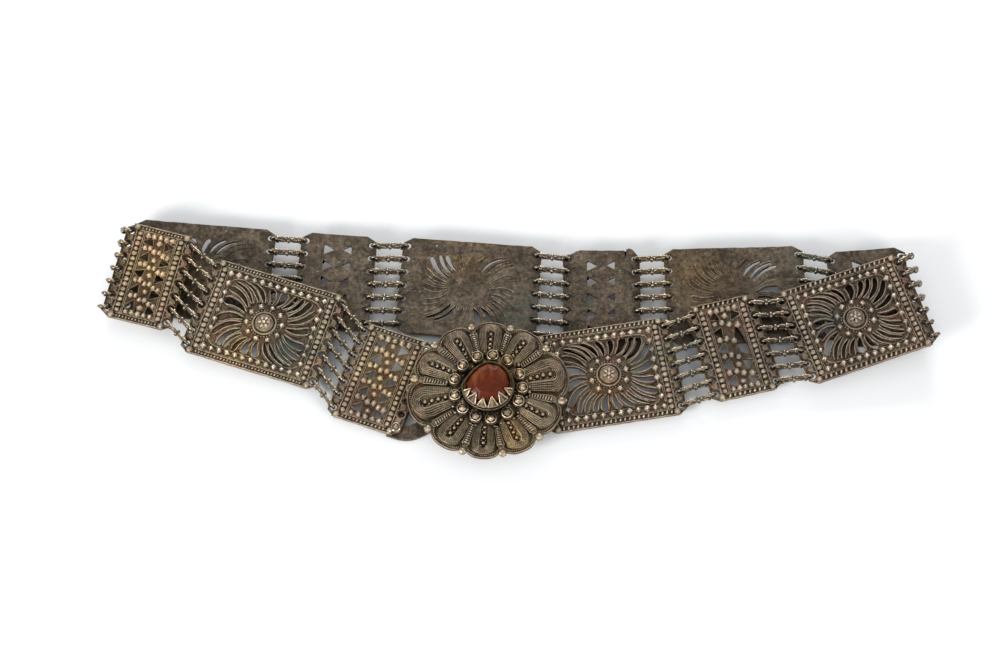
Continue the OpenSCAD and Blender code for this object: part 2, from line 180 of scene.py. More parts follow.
def ball(r, seg, rings, low, high):
    profile, lift = [], []
    for i in range(rings + 1):
        a = -math.pi / 2 + math.pi * i / rings
        profile.append((0 if i in (0, rings) else r * math.cos(a), r * math.sin(a)))
        # More lift on the top than below: a painted highlight on top and painted shade underneath, with the
        # wear on top
        lift.append(low + (high - low) * (0.5 + 0.5 * math.sin(a)))
    return lathe(profile, seg, lift)


def tube(points, radius, sides, up=(0, 0, 1), closed=False, flat=1.0, *, lift):
    """A wire along some points. Its lift is less below than on its top: painted shade on its underside and a
    painted highlight, with wear, along its top.
    """
    pts = np.asarray(points, float)
    n = len(pts)
    tan = np.roll(pts, -1, 0) - np.roll(pts, 1, 0) if closed else np.gradient(pts, axis=0)
    tan /= np.linalg.norm(tan, axis=1)[:, None]
    side = np.cross(tan, np.broadcast_to(np.asarray(up, float), (n, 3)))
    side /= np.linalg.norm(side, axis=1)[:, None]
    top = np.cross(side, tan)
    a = np.arange(sides) * 2 * math.pi / sides
    rad = np.broadcast_to(radius, (n,))[:, None, None]
    ring = rad * (np.cos(a)[None, :, None] * side[:, None] * flat + np.sin(a)[None, :, None] * top[:, None])
    v = (pts[:, None] + ring).reshape(-1, 3)
    base = np.broadcast_to(lift, (n,))[:, None]
    # Painted highlight along the wire's top and painted shade on its underside
    k = (base * (0.65 + 0.35 * np.sin(a)[None, :])).reshape(-1)
    quads, tris = [], []
    for i in range(n if closed else n - 1):
        o = (i + 1) % n
        for j in range(sides):
            m = (j + 1) % sides
            quads.append((i * sides + j, o * sides + j, o * sides + m, i * sides + m))
    if not closed:
        v = np.vstack([v, pts[0], pts[-1]])
        k = np.append(k, [base[0, 0], base[-1, 0]])
        for j in range(sides):
            m = (j + 1) % sides
            tris.append((n * sides, j, m))
            tris.append((n * sides + 1, (n - 1) * sides + m, (n - 1) * sides + j))
    return form(v, quads, tris, k, True)


def hoop(radius, wire, seg, sides, lift):
    a = np.arange(seg) * 2 * math.pi / seg
    pts = np.stack([radius * np.cos(a), radius * np.sin(a), 0 * a], 1)
    return tube(pts, wire, sides, closed=True, lift=lift)


# Places on the belt, as X and Y, where the tarnish is green, golden or cold, and how far it spreads
GREEN = [(-118, -6, 18), (-108, -5, 14), (5, 20, 20), (-3, 13, 13), (68, -8, 19), (160, 12, 15),
         (155, 45, 20), (88, -1, 10)]
GOLD = [(-191, 38, 34), (-67, -21, 24), (-3, -56, 14), (-142, -4, 20), (42, -30, 14), (-10, -24, 22),
        (92, 40, 34), (-28, 50, 26)]
COLD = [(180, 12, 60), (112, -6, 30), (46, -20, 42), (-80, -34, 16)]
# Panels whose ropes have a coarser pitch
COARSE_ROPE = {"swirl_panel_1": 2.4, "swirl_panel_2": 2.7, "lattice_panel_1": 2.6, "lattice_panel_6": 2.0}
# Directions, as they lie, in which a back's slots are pierced right through
OPEN_SLOTS = {
    "swirl_panel_3": [(28, 80), (-12, 8)],
    "swirl_panel_4": [(48, 64), (112, 150), (212, 246), (278, 300)],
    "swirl_panel_5": [(40, 120)],
}
# Directions between which a front panel's slots are closed by a black sheet of painted shade, for the deep
# shade between the belt's two layers, with no floor to be seen through them
PAINTED_SHADE_SLOTS = {"swirl_panel_1": (38, 150), "swirl_panel_2": (15, 120)}


def spread(v, patches):
    """How deep each point lies in a patch, from 0 at the rim to 1 in the middle."""
    out = np.zeros(len(v))
    for x, y, r in patches:
        out = np.maximum(out, 1 - np.hypot(v[:, 0] - x, v[:, 1] - y) / r)
    return np.clip(out, 0, 1)


def new_object(name, data):
    """An object in the scene, from a mesh, a curve, a lamp or a camera."""
    obj = bpy.data.objects.new(name, data)
    bpy.context.scene.collection.objects.link(obj)
    return obj


class Pile:
    """A heap of shapes that becomes one mesh."""

    def __init__(self):
        self.v, self.q, self.t, self.k, self.qs, self.ts = [], [], [], [], [], []
        self.n = 0

    def add(self, shape, at=(0, 0, 0), turn=0.0, size=1.0):
        v, q, t, k, smooth = shape
        v = v * size
        if turn:
            v = v @ turn_z(turn).T
        v = v + np.asarray(at, float)
        self.v.append(v)
        self.k.append(k)
        self.q.append(q + self.n)
        self.t.append(t + self.n)
        self.qs.append(np.full(len(q), smooth))
        self.ts.append(np.full(len(t), smooth))
        self.n += len(v)

    def stamp(self, shape, spots, wobble=0.06, spin=0.0):
        """A shape at each spot, each a little off in place, size and direction."""
        for x, y, z in spots:
            size = 1 + rng.uniform(-wobble, wobble)
            at = (x + rng.uniform(-0.1, 0.1), y + rng.uniform(-0.1, 0.1), z)
            self.add(shape, at, rng.uniform(-spin, spin), size)

    def move(self, matrix, offset=(0, 0, 0)):
        self.v = [v @ matrix.T + np.asarray(offset, float) for v in self.v]

    def build(self, name, material, node):
        v = np.vstack(self.v) * 0.001
        mesh = bpy.data.meshes.new(name)
        mesh.from_pydata(v, [], np.vstack(self.q).tolist() + np.vstack(self.t).tolist())
        mesh.polygons.foreach_set("use_smooth", np.concatenate(self.qs + self.ts).astype(bool))
        for key, values in (("lift", np.concatenate(self.k)), ("green", spread(v * 1000, GREEN)),
                            ("gold", spread(v * 1000, GOLD)), ("cold", spread(v * 1000, COLD))):
            mesh.attributes.new(key, "FLOAT", "POINT").data.foreach_set("value", values.astype(np.float32))
        mesh.validate()
        obj = new_object(name, mesh)
        mesh.materials.append(material)
        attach(obj, "root")
        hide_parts(node)
        return obj


def plate(outline, holes, low, high, bevel=0.16, lift=0.15):
    """A flat plate with holes, from closed outlines, with rounded arrises."""
    curve = bpy.data.curves.new("outline", "CURVE")
    curve.dimensions = "2D"
    curve.fill_mode = "BOTH"
    curve.extrude = (high - low) / 2 - bevel
    curve.bevel_depth = bevel
    curve.bevel_resolution = 1
    curve.offset = -bevel
    for ring in [outline] + holes:
        line = curve.splines.new("POLY")
        line.points.add(len(ring) - 1)
        for p, (x, y) in zip(line.points, ring):
            p.co = (x, y, 0, 1)
        line.use_cyclic_u = True
    obj = new_object("outline", curve)
    mesh = bpy.data.meshes.new_from_object(obj.evaluated_get(bpy.context.evaluated_depsgraph_get()))
    v = np.array([p.co for p in mesh.vertices], float) + [0, 0, (low + high) / 2]
    faces = [tuple(f.vertices) for f in mesh.polygons]
    bpy.data.objects.remove(obj)
    bpy.data.curves.remove(curve)
    bpy.data.meshes.remove(mesh)
    return form(v, [f for f in faces if len(f) == 4], [f for f in faces if len(f) == 3], lift, False)


def circle(x, y, r, seg=18):
    angles = [2 * math.pi * i / seg for i in range(seg)]
    return [(x + r * math.cos(a), y + r * math.sin(a)) for a in angles]


def worn_outline(corners, step=3.5, wear=0.14):
    """A closed outline with a point every few millimetres, a little uneven like a filed casting, by 0.25 mm
    at most."""
    pts = []
    for p, q in zip(corners, corners[1:] + corners[:1]):
        p, q = np.array(p, float), np.array(q, float)
        n = max(1, int(np.linalg.norm(q - p) / step))
        for i in range(n):
            out = p + (q - p) * i / n
            if i:
                d = unit(q - p)
                out = out - np.array([d[1], -d[0]]) * min(abs(rng.normal(0, wear)), 0.25)
            pts.append(tuple(out))
    return pts


def panel_outline(w, name, back):
    """A panel's chamfered outline. One panel has a crack and a lump beside it at its top edge."""
    a, b = w / 2, PANEL_H / 2
    c, d = (5.4, 3.3) if back else (4.6, 3.0)
    corners = [(-a + c, -b), (a - c, -b), (a, -b + d), (a, b - d),
               (a - c, b), (-a + c, b), (-a, b - d), (-a, -b + d)]
    if name == "lattice_panel_3":
        crack = [(-12.0, b), (-12.25, b - 3.6), (-12.85, b - 3.5), (-13.0, b + 0.7)]
        lump = [(-14.6, b + 1.2), (-16.3, b + 0.5), (-a, b - 4.4)]
        corners = corners[:3] + [(a, b - 4), (a - 9, b)] + crack + lump + corners[7:]
    return worn_outline(corners)


def hole_spots(w):
    return [(side * (w / 2 - HOLE_IN), (i - (LINKS - 1) / 2) * PITCH)
            for side in (-1, 1) for i in range(LINKS)]


# Shapes that every panel uses
BEAD = squeezed(dome(1, 1.3, 12, 4, 0.3, 0.58), (1.55, 1.36, 1))
DISC = lathe([(1.55, -0.2), (1.55, 0.5), (1.4, 0.68), (1.1, 0.6), (0, 0.66)], 10, [-0.2, 0.1, 0.4, 0.1, 0.15])
KNOB = lathe([(1.75, -0.2), (1.75, 0.45), (1.5, 0.8), (0.7, 1.3), (0, 1.4)], 7,
             [0.1, 0.2, 0.3, 0.6, 0.7], smooth=False)
PYRAMID = lathe([(1, -0.2), (0.95, 0.3), (0.36, 1.7), (0, 1.85)], 4, [0.0, 0.3, 1.1, 1.15], smooth=False)
GRAIN = squeezed(PYRAMID, (1.9, 2.1, 1))
NUGGET = lathe([(1.9, -0.2), (1.8, 0.35), (0.5, 1.65), (0, 1.8)], 5, [0.0, 0.35, 0.8, 0.9], smooth=False)
STROKE = squeezed(dome(1, 0.5, 8, 3, 0.05, 0.85), (0.52, 0.3, 1))
PEARL = dome(0.55, 0.55, 7, 2, 0.1, 0.8)
RIM = hoop(HOLE_R + 0.35, 0.36, 16, 6, 0.4)


def line(x0, y0, x1, y1, z, radius, lift, n=12):
    """A raised ridge from one point to another, a little uneven."""
    t = np.linspace(0, 1, n)
    jitter = rng.normal(0, 0.04, (n, 2))
    pts = np.stack([x0 + (x1 - x0) * t + jitter[:, 0], y0 + (y1 - y0) * t + jitter[:, 1], np.full(n, z)], 1)
    return tube(pts, radius, 6, lift=lift)


def border(p, w, name, back):
    """Link rims, discs, bead columns, ridges, ropes and the edge ridge of one panel."""
    top = PLATE_T
    half_w, half_h = w / 2, PANEL_H / 2
    knob_in, edge_in = (8.4, 6.8) if back else (5.3, 3.4)
    p.stamp(RIM, [(x, y, top + 0.05) for x, y in hole_spots(w)], wobble=0.0)
    for side in (-1, 1):
        x = side * (half_w - HOLE_IN)
        p.stamp(DISC, [(x, (i - (LINKS - 2) / 2) * PITCH, top) for i in range(LINKS - 1)])
        x = side * (half_w - BEAD_IN)
        ys = [(i - (BEADS - 1) / 2) * BEAD_PITCH for i in range(BEADS)]
        p.stamp(BEAD, [(x, y, top) for y in ys], wobble=0.1, spin=8)
        for inset, radius in END_RIDGES:
            x = side * (half_w - inset)
            p.add(line(x, -half_h + 3.4, x, half_h - 3.4, top + 0.15, radius, 0.45))
        for updown in (-1, 1):
            p.stamp(KNOB, [(side * (half_w - knob_in), updown * half_h - updown * 1.9, top)])
    pitch = COARSE_ROPE.get(name, ROPE_PITCH)
    for updown in (-1, 1):
        y = updown * half_h
        x, y_edge = half_w - edge_in, y - updown * 0.4
        p.add(line(-x, y_edge, x, y_edge, top + 0.1, 0.4, 0.45, 20))
        n = int((w - 14) / pitch)
        for i in range(n):
            at = ((i - (n - 1) / 2) * pitch, y - updown * ROPE_IN, top - 0.1)
            p.add(STROKE, at, ROPE_LEAN + rng.uniform(-8, 8), pitch * rng.uniform(0.92, 1.08))
        for inset, radius, high, lift in LONG_RIDGES:
            x, y_ridge = half_w - 7, y - updown * inset
            p.add(line(-x, y_ridge, x, y_ridge, top + high, radius, lift, 20))


def on_frame(angle, half_x, half_y, power):
    """The point of a rounded rectangle in a direction given in degrees."""
    c, s = cos_sin(angle)
    grow = (abs(c / half_x) ** power + abs(s / half_y) ** power) ** (-1 / power)
    return round_about(grow, angle)


def blade(a, half_x, half_y, t):
    """A point along the line that a blade or a slot follows, from the middle field out to the frame.
    Its outer end leans towards the nearest corner and a little round the boss."""
    inner = on_frame(a, MIDDLE_X, MIDDLE_Y, 3.5)
    outer = on_frame(a + 5 + 8 * math.sin(math.radians(4 * a)), half_x, half_y, 7)
    d = outer - inner
    bow = np.array([-d[1], d[0]]) * 0.12 * math.sin(math.pi * t)
    return inner + d * t - bow


def slot_sides(a, half_x, half_y, share):
    """The two edges of a slot, which is as wide as a share of the way to the next one."""
    ts = np.array([0.02, 0.1, 0.22, 0.38, 0.54, 0.7, 0.84, 0.93, 0.98])
    step = 180 / SLOTS
    left, right = [], []
    for t in ts:
        mid = blade(a, half_x, half_y, t)
        apart = blade(a + step, half_x, half_y, t) - blade(a - step, half_x, half_y, t)
        along = unit(blade(a, half_x, half_y, t + 0.01) - mid)
        across = np.array([-along[1], along[0]])
        half = abs(apart @ across) * share * min(1, (t / 0.3) ** 0.6) * min(1, ((1.02 - t) / 0.16) ** 0.5)
        left.append(mid + across * max(half, 0.12))
        right.append(mid - across * max(half, 0.12))
    return left, right


def strip(left, right, low, high, lift):
    """A thin sheet between two lines of points."""
    n = len(left)
    mid = (np.array(left) + np.array(right)) / 2
    v = np.vstack([np.column_stack([mid + (np.array(pts) - mid) * 1.25, np.full(n, z)])
                   for z in (high, low) for pts in (left, right)])
    quads = [(i, n + i, n + i + 1, i + 1) for i in range(n - 1)]
    quads += [(2 * n + i, 2 * n + i + 1, 3 * n + i + 1, 3 * n + i) for i in range(n - 1)]
    return form(v, quads, [], lift, False)


def slot_look(name, back, angle, turned):
    """A slot's share of the room for it, whether it is pierced, and else its floor's height and lift."""
    share = rng.uniform(0.18, 0.31)
    pierced = rng.uniform() < 0.76
    if name == "swirl_panel_1" and 28 < angle % 360 < 72:
        share, pierced = 0.42, True
    lying = (180 - angle + turned if back else angle + turned) % 360
    if back:
        pierced = any(a <= lying <= b or a <= lying - 360 <= b for a, b in OPEN_SLOTS[name])
        share = 0.26 if pierced else 0.17
    elif name in PAINTED_SHADE_SLOTS and PAINTED_SHADE_SLOTS[name][0] < lying < PAINTED_SHADE_SLOTS[name][1]:
        # Painted shade: a closed sheet with the lowest lift, which shows black, for the deep shade between
        # the belt's layers
        return share, False, 0.3, -1.0
    return share, pierced, 0.75, -0.1


def stroke_on_back(p, pts, radius):
    """A worn, light stroke that stands a little proud of a panel's back."""
    p.add(tube(np.column_stack([pts, np.full(len(pts), 0.04)]), radius, 5, lift=rng.uniform(0.8, 1.8)))


def swirl_field(p, w, name, back, turned):
    """A swirl of slots with raised edges, its frame of grains and its boss. Gives the slots' outlines."""
    top = PLATE_T
    half_x, half_y = w / 2 - FIELD_IN, FIELD_HALF_H
    holes = []
    start = rng.uniform(-6, 6)
    for k in range(SLOTS):
        angle = (k + 0.5) * 360 / SLOTS + start + rng.uniform(-2, 2)
        share, pierced, floor, floor_lift = slot_look(name, back, angle, turned)
        left, right = slot_sides(angle, half_x, half_y, share)
        holes.append([tuple(v) for v in left] + [tuple(v) for v in reversed(right)])
        if not pierced:
            p.add(strip(left, right, 0.1, floor, floor_lift))
        mid = (np.array(left) + np.array(right)) / 2
        for edge in (np.array(left), np.array(right)):
            out = edge - mid
            out /= np.linalg.norm(out, axis=1)[:, None]
            for gap, wire, high, lift, n in ((0.36, 0.38, 0.62, 0.52, 9), (1.08, 0.28, 0.3, 0.3, 7)):
                z = top + 0.12 + high * np.sin(np.linspace(0.15, 1, len(edge)) * math.pi)
                p.add(tube(np.column_stack([edge + out * gap, z])[:n], wire, 5, lift=lift))
            if back:
                stroke_on_back(p, edge + out * 0.3, 0.28)
        if back:
            ts = np.linspace(0.1, rng.uniform(0.5, 0.85), 7)
            stroke_on_back(p, [blade(angle + 180 / SLOTS, half_x, half_y, t) for t in ts], 0.22)
    loop = [on_frame(a, half_x + 0.9, half_y + 0.9, 9) for a in np.linspace(0, 360, 72, endpoint=False)]
    p.add(tube([(x, y, top + 0.1) for x, y in loop], 0.36, 6, closed=True, lift=0.45))
    x = half_x + 1.5
    n = round(2 * x / GRAIN_PITCH)
    spots = [((i / n - 0.5) * 2 * x, side * GRAIN_ROW_Y, top) for i in range(n + 1) for side in (-1, 1)]
    x = half_x + 1.2
    spots += [(side * x, (i / 8 - 0.5) * 2 * GRAIN_COLUMN_Y, top) for i in range(1, 8) for side in (-1, 1)]
    p.stamp(GRAIN, spots, wobble=0.14, spin=16)
    boss(p)
    return holes


def boss(p):
    """A low drum with a ring of pearls, a ring of grains and a flower of six petals."""
    top = PLATE_T
    p.stamp(GRAIN, [(*round_about(9.3, 36 * i + 10), top) for i in range(10)], wobble=0.14, spin=30)
    p.add(hoop(5.9, 0.75, 36, 8, 0.42), (0, 0, top + 0.25))
    p.stamp(PEARL, [(*round_about(7.2, 360 / 30 * i), top) for i in range(30)], wobble=0.08)
    p.add(lathe([(5.1, 0), (4.9, 0.9), (4.2, 1.7), (3.0, 2.1), (2.0, 2.2), (0, 2.2)], 30,
                [0.05, 0.2, 0.35, 0.45, 0.4, 0.4]), (0, 0, top))
    petal = squeezed(dome(1, 0.9, 8, 3, 0.3, 1.0), (1.5, 0.85, 1))
    for i in range(6):
        a = 60 * i + 15
        p.add(petal, (*round_about(2.1, a), top + 1.95), a)
    p.add(dome(1.1, 1.1, 10, 4, 0.6, 1.0), (0, 0, top + 2.3))
    p.add(hoop(4.0, 0.32, 28, 6, 0.5), (0, 0, top + 1.75))


def triangle_hole(x, y, size, turn):
    """A triangle with rounded corners, turned by some degrees from one that points up."""
    wide, high = size / 2, size * 0.46
    corners = [np.array([-wide, -high]), np.array([wide, -high]), np.array([0, high])]
    pts = []
    for i in range(3):
        c, before, after = corners[i], corners[i - 1], corners[(i + 1) % 3]
        a, b = c + unit(before - c) * 0.9, c + unit(after - c) * 0.9
        for t in (0, 0.33, 0.67, 1):
            pts.append(turn_z(turn)[:2, :2] @ (a * (1 - t) ** 2 + c * 2 * t * (1 - t) + b * t * t))
    return [(x + q[0], y + q[1]) for q in pts]


def lattice_field(p, w, broken, back):
    """Two columns of triangles between rows of nuggets. In the broken panel a part has come away."""
    top = PLATE_T
    holes, spots = [], []
    column = w * (0.115 if back else 0.125)
    for i in range(5):
        y = (i - 2) * ROW_PITCH
        for side in (-1, 1):
            x, yy = side * column, y - side * (0.2 if back else 1.2)
            turn = (-90 if back else -28 + rng.uniform(-16, 16)) + (180 if side == 1 else 0)
            size = (6.2 if side == 1 else 5.0) if back else 5.9 * rng.uniform(0.94, 1.06)
            if broken and side == 1 and i in (2, 3):
                continue
            holes.append(triangle_hole(x, yy, size, turn))
            rim = triangle_hole(x, yy, size + 0.9, turn)
            p.add(tube([(px, py, top + 0.02) for px, py in rim], 0.26, 5, closed=True, lift=0.35))
    if broken:
        gap = [(-2.9, 4.2), (-1.6, -2.6), (0.4, -4.4), (3.0, -4.6), (2.7, 1.0), (1.5, 7.0), (0.3, 11.4),
               (-0.6, 11.2), (-1.9, 7.6)]
        holes.append([(column + x, y) for x, y in gap])
    wide = w / 2 - 12.1
    for i in range(4):
        for share in (-0.9, -0.35, 0.2, 0.85) if broken else (-1, -0.6, -0.2, 0.22, 0.62, 1):
            if broken and share > 0.3 and i in (1, 2):
                continue
            jog = 0.5 if share in (-0.6, -0.35, 0.22) else -0.4
            spots.append((share * wide, (i - 1.5) * ROW_PITCH - share * 1.5 + jog, top))
    for i in range(5):
        if not (broken and i in (2, 3)):
            spots.append((rng.uniform(-0.3, 0.3), (i - 2) * ROW_PITCH + rng.uniform(-0.5, 0.5), top))
    for share in (-1, -0.5, 0, 0.5, 1):
        for side in (-1, 1):
            spots.append((share * wide, side * NUGGET_ROW_Y, top))
    p.stamp(NUGGET, spots, wobble=0.12, spin=40)
    return holes


def panel(spec, materials):
    name, kind, w, at, turn, face = spec
    p = Pile()
    back = face == "down"
    border(p, w, name, back)
    if kind == "swirl":
        holes = swirl_field(p, w, name, back, turn[2])
    else:
        holes = lattice_field(p, w, name == "lattice_panel_1", back)
    holes += [circle(x + math.copysign(SHOWN_HOLE_OUT, x), y, SHOWN_HOLE_R, 14) for x, y in hole_spots(w)]
    p.add(plate(panel_outline(w, name, back), holes, 0, PLATE_T, lift=0.1 if back else -0.3))
    if back:
        p.move(turn_y(180))
    else:
        p.move(np.eye(3), (0, 0, -PLATE_T))
    p.move(lie(turn), np.array(at) + TO_ORIGIN)
    p.build(name + "_cast", materials["back" if back else "front"], name)


# Links
def on_panel(spec, x, y):
    """The point halfway through a panel's thickness at its own X and Y."""
    return np.array(spec[3], float) + lie(spec[4]) @ np.array([x, y, -PLATE_T / 2])


def rim_at(spec, side, i, slide):
    """Where the end of link i goes round a panel's rim, on the side that its hole is at."""
    return on_panel(spec, side * (spec[2] / 2 - 0.45), ((LINKS - 1) / 2 - i) * PITCH + slide)


def across(v, u):
    """The direction of v square to u."""
    return unit(v - (v @ u) * u)


def half_turn(x, start, n):
    """Points round the end of a loop, from a direction on."""
    angles = [start + math.pi * i / n for i in range(n + 1)]
    return [(x + LOOP_R * math.cos(a), LOOP_R * math.sin(a)) for a in angles]


def half_link(p, start, target, edge, wire):
    """A long wire loop from a granule to a panel's rim, with a shoulder on either side."""
    u = unit(target - start)
    b = across(edge, u)
    n = np.cross(u, b)
    near, far = GRANULE_D / 2 - 0.5 + LOOP_R, LINK_LEN / 2 - LOOP_R
    pts = half_turn(far, -math.pi / 2, 8) + [(far + (near - far) * t, LOOP_R) for t in (0.33, 0.67)]
    pts += half_turn(near, math.pi / 2, 6) + [(near + (far - near) * t, -LOOP_R) for t in (0.33, 0.67)]
    # Its top is turned towards the panels' upper edges, so the wire's painted highlight lies on its side
    # towards the back
    p.add(tube([start + u * x + n * y for x, y in pts], wire, 8, up=b, closed=True, flat=1.2, lift=0.75))
    basis = np.stack([u, n, b], 1)
    shoulder = squeezed(ball(1.0, 12, 7, 0.2, 0.8), (1.2, 0.95, 1.45), basis)
    for way in (-1, 1):
        p.add(shoulder, start + u * 5.9 + n * way * 1.7)
    return basis


def link_row(j, materials):
    a_spec, b_spec = LAYOUT[j], LAYOUT[j + 1]
    edge_a, edge_b = lie(a_spec[4])[:, 1], lie(b_spec[4])[:, 1]
    p = Pile()
    granule = ball(GRANULE_D / 2, 14, 8, 0.2, 0.7)
    nub = ball(1.0, 14, 8, 0.2, 0.9)
    for i in range(LINKS):
        way = unit(rim_at(b_spec, SIDES[j][1], i, 0) - rim_at(a_spec, SIDES[j][0], i, 0))
        if j in FOLDS:
            slides = [SLIDE_UP if s[5] == "up" else SLIDE_DOWN for s in (a_spec, b_spec)]
        else:
            slides = [way @ edge_a * LEAN_SLIDE, -way @ edge_b * LEAN_SLIDE]
        a, b = rim_at(a_spec, SIDES[j][0], i, slides[0]), rim_at(b_spec, SIDES[j][1], i, slides[1])
        middle = (a + b) / 2
        if j in FOLDS:
            t = i / (LINKS - 1)
            out = np.array(FOLDS[j][0]) * (1 - t) + np.array(FOLDS[j][1]) * t
            d = np.linalg.norm(b - a)
            middle = middle + math.sqrt(max(0, FOLD_REACH ** 2 - d * d / 4)) * across(out, (b - a) / d)
        p.add(granule, middle)
        wire = 0.92 if j in FOLDS else 0.8
        half_link(p, middle, a, edge_a, wire)
        basis = half_link(p, middle, b, edge_b, wire)
        p.add(squeezed(nub, (1.3, 1.9, 2.0), basis), middle)
    p.move(np.eye(3), TO_ORIGIN)
    name = "link_row_%02d" % (j + 1)
    p.build(name + "_wire", materials["wire"], name)


# Buckle
FIRST, LAST = LAYOUT[0], LAYOUT[-1]
# Between the last panel and the buckle plate under it
PLATE_GAP = 0.25


def flat_on_last(q):
    return (lie(LAST[4]).T @ (q - np.array(LAST[3], float)))[:2]


def rounded(pts):
    """An open line of points with its corners cut twice."""
    pts = np.array(pts, float)
    for _ in range(2):
        a, b = pts[:-1], pts[1:]
        cut = np.stack([a * 0.75 + b * 0.25, a * 0.25 + b * 0.75], 1).reshape(-1, 2)
        pts = np.vstack([pts[:1], cut, pts[-1:]])
    return pts


def buckle(materials):
    """The plate with its crescent edge, its rivets and its pin, as they lie on the last panel."""
    pin = flat_on_last(on_panel(FIRST, HOLE_IN - FIRST[2] / 2, 0))
    post = flat_on_last(ROSETTE_AT)
    x, low = LAST[2] / 2, -PANEL_H / 2
    edge = [(x - 6.4, low - 0.6), (x + 1.4, low - 0.6), (x + 6.5, low + 1.2), (x + 10.6, low + 4.4),
            (x + 15, low + 9.8), (x + 26, low + 15), (pin[0] - 8, pin[1] - 12), (pin[0] + 4.5, pin[1] - 4),
            (pin[0] + 4.5, pin[1] + 4), (x + 34, -low + 3), (x + 14, -low), (x, -low), (x - 6.4, -low)]
    window = [(x + 0.4, -20.6), (x + 7.6, -14), (x + 9, -4), (x + 0.4, -4)]
    spots = [(x - HOLE_IN, ((LINKS - 1) / 2 - i) * PITCH) for i in (0, 3, 6)]
    holes = [window] + [circle(a, b, 1.85) for a, b in spots] + [circle(*pin, 1.75), circle(*post, 2.75)]
    p = Pile()
    high = -PLATE_T - PLATE_GAP
    low = high - PLATE_T
    lower = rounded(edge[:7])
    p.add(plate([tuple(q) for q in lower] + worn_outline(edge[7:], 400, 0), holes, low, high, 0.2))
    p.add(tube([(a, b + 0.5, high - 0.1) for a, b in lower], 0.3, 6, lift=0.5))
    place = (lie(LAST[4]), np.array(LAST[3]) + TO_ORIGIN)
    p.move(*place)
    p.build("buckle_plate_sheet", materials["back"], "buckle_plate")

    p = Pile()
    head = lathe([(1.6, low - 0.9), (1.6, 0), (2.5, 0.12), (2.45, 0.75), (2.05, 0.95), (1.7, 0.75),
                  (1.3, 0.75), (1.0, 0.95), (0, 1.0)], 20, [0.1, 0.1, 0.5, 0.9, 1.0, 0.2, 0.3, 0.9, 1.0])
    foot = lathe([(0, low - 0.92), (2.5, low - 0.92), (2.5, low - 0.15), (1.5, low - 0.12)], 20,
                 [0.3, 0.5, 0.4, 0.1])
    for a, b in spots:
        p.add(head, (a, b, 0))
        p.add(foot, (a, b, 0))
    p.move(*place)
    p.build("buckle_rivet_heads", materials["wire"], "buckle_rivets")

    p = Pile()
    high = 2.1
    p.add(lathe([(0, low - 1.05), (2.7, low - 1.05), (2.7, low - 0.3), (1.5, low - 0.25), (1.5, high),
                 (2.6, high + 0.05), (2.7, high + 0.4), (2.4, high + 0.75), (0, high + 0.8)], 20), (*pin, 0))
    p.move(*place)
    p.build("clasp_pin_turned", materials["wire"], "clasp_pin")


def valley(k):
    """The direction of a notch, which goes on past 360 degrees after the last."""
    n = len(VALLEYS)
    return VALLEYS[k % n] + 360 * (k // n)


def petal_edge(k, s, inset):
    """A point at share s across a petal, from -1 in one valley to 1 in the next, inside its edge."""
    a0, a1 = valley(k), valley(k + 1)
    wide = 1.5 if a1 - a0 > 40 else 0
    r = VALLEY_R - inset + (ROSETTE_R + wide - VALLEY_R) * (1 - abs(s) ** 2.6) ** 0.5
    return r, (a0 + a1) / 2 + s * (a1 - a0) / 2


def petal_height(s, t):
    """Height of a petal's face above its base, s across it and t from the cone out to the tip."""
    body = 2.5 * (1 - abs(s) ** 2.4) * math.sin(math.pi * (0.2 + 0.62 * t)) + 0.4
    channel = 1.6 * math.exp(-(s / 0.24) ** 4) * min(1, 3 * t) * min(1, 4 * (1 - t))
    return BASE_T + body - channel


def distances(pts):
    return np.concatenate([[0], np.cumsum(np.linalg.norm(np.diff(pts, axis=0), axis=1))])


def evenly(pts, step):
    """Points about a step apart along a line of others."""
    pts = np.array(pts)
    far = distances(pts)
    at = np.linspace(0, far[-1], int(far[-1] / step) + 1)
    return np.column_stack([np.interp(at, far, pts[:, i]) for i in range(3)])


